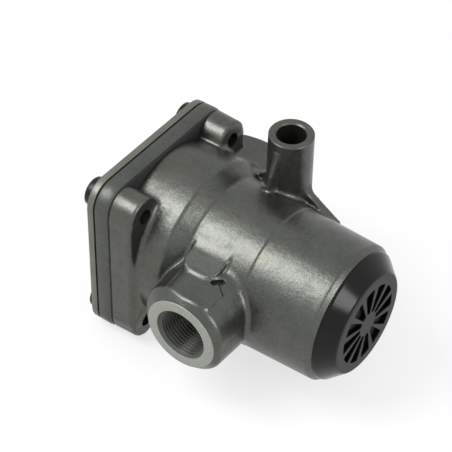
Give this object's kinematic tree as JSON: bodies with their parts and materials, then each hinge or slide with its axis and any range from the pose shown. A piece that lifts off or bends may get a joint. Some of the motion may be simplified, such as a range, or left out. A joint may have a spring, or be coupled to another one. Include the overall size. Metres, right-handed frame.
{
  "type": "pressure limiting valve",
  "caption": "Compressed-air pressure limiting valve: die-cast body with side ports and a tubular boss, a square screwed end cover, and a spring chamber closed by a conical vent cap.",
  "frame": {"origin": "middle of the footprint, on the plane that the lower edge of the square end stands on; the valve's own axis is 39 mm above it", "axes": "+X along the valve's axis from the cover plate to the vent cap, +Z along the tubular boss to its open end, +Y out of the inlet port (the outlet port faces -Y)"},
  "size_m": [0.1154, 0.0998, 0.0905],
  "materials": {
    "die_cast_aluminium": "die-cast, dull with smooth bright patches",
    "cover_casting": "die-cast, dull grey",
    "zinc_plated_steel": "zinc plated, satin",
    "black_oxide_steel": "black oxide",
    "brass": "turned",
    "black_rubber": "matte",
    "gasket_sheet": "matte",
    "spring_steel": "satin",
    "turned_aluminium": "turned",
    "low_friction_band": "matte",
    "black_plastic": "moulded, glossy cone and matt face"
  },
  "bodies": {
    "housing": {"valve_body": "die_cast_aluminium", "end_cover": "cover_casting", "cover_plate": "zinc_plated_steel", "cover_gasket": "gasket_sheet", "body_gasket": "gasket_sheet", "cover_screw_1": "black_oxide_steel", "cover_screw_2": "black_oxide_steel", "cover_screw_3": "black_oxide_steel", "cover_screw_4": "black_oxide_steel", "valve_guide": "brass", "guide_o_ring": "black_rubber", "valve_spring": "spring_steel", "main_spring": "spring_steel", "lock_nut": "zinc_plated_steel", "end_bridge": "zinc_plated_steel", "circlip": "black_oxide_steel"},
    "inlet_valve_assembly": {"inlet_valve": "brass", "valve_seal": "black_rubber", "tail_o_ring": "black_rubber"},
    "piston_assembly": {"piston": "turned_aluminium", "piston_seal": "black_rubber", "piston_guide_band": "low_friction_band"},
    "seat_assembly": {"spring_seat": "spring_steel"},
    "screw_assembly": {"adjusting_screw": "spring_steel"},
    "cap_assembly": {"vent_cap": "black_plastic", "vent_flap": "black_rubber"}
  },
  "joints": [
    {"name": "piston_slide", "type": "slide", "parent": "housing", "child": "piston_assembly", "axis": [1, 0, 0], "range_m": [0, 0.002], "stiffness_N_per_m": 2000, "springref_m": -0.004, "deforming": ["main_spring"]},
    {"name": "inlet_valve_slide", "type": "slide", "parent": "housing", "child": "inlet_valve_assembly", "axis": [1, 0, 0], "range_m": [0, 0.002], "deforming": ["valve_spring"]},
    {"name": "seat_slide", "type": "slide", "parent": "housing", "child": "seat_assembly", "axis": [1, 0, 0], "range_m": [-0.003, 0.0015], "deforming": ["main_spring"]},
    {"name": "adjusting_screw_turn", "type": "hinge", "parent": "seat_assembly", "child": "screw_assembly", "pos_m": [0.0441, 0, 0.039], "axis": [1, 0, 0], "range_deg": [-720.5, 360.5]},
    {"name": "cap_pull", "type": "slide", "parent": "housing", "child": "cap_assembly", "axis": [1, 0, 0], "range_m": [0, 0.012]}
  ],
  "couplings": [
    {"joint": "inlet_valve_slide", "follows": "piston_slide", "ratio": 1},
    {"joint": "adjusting_screw_turn", "follows": "seat_slide", "rad_per_m": 4188.8}
  ]
}
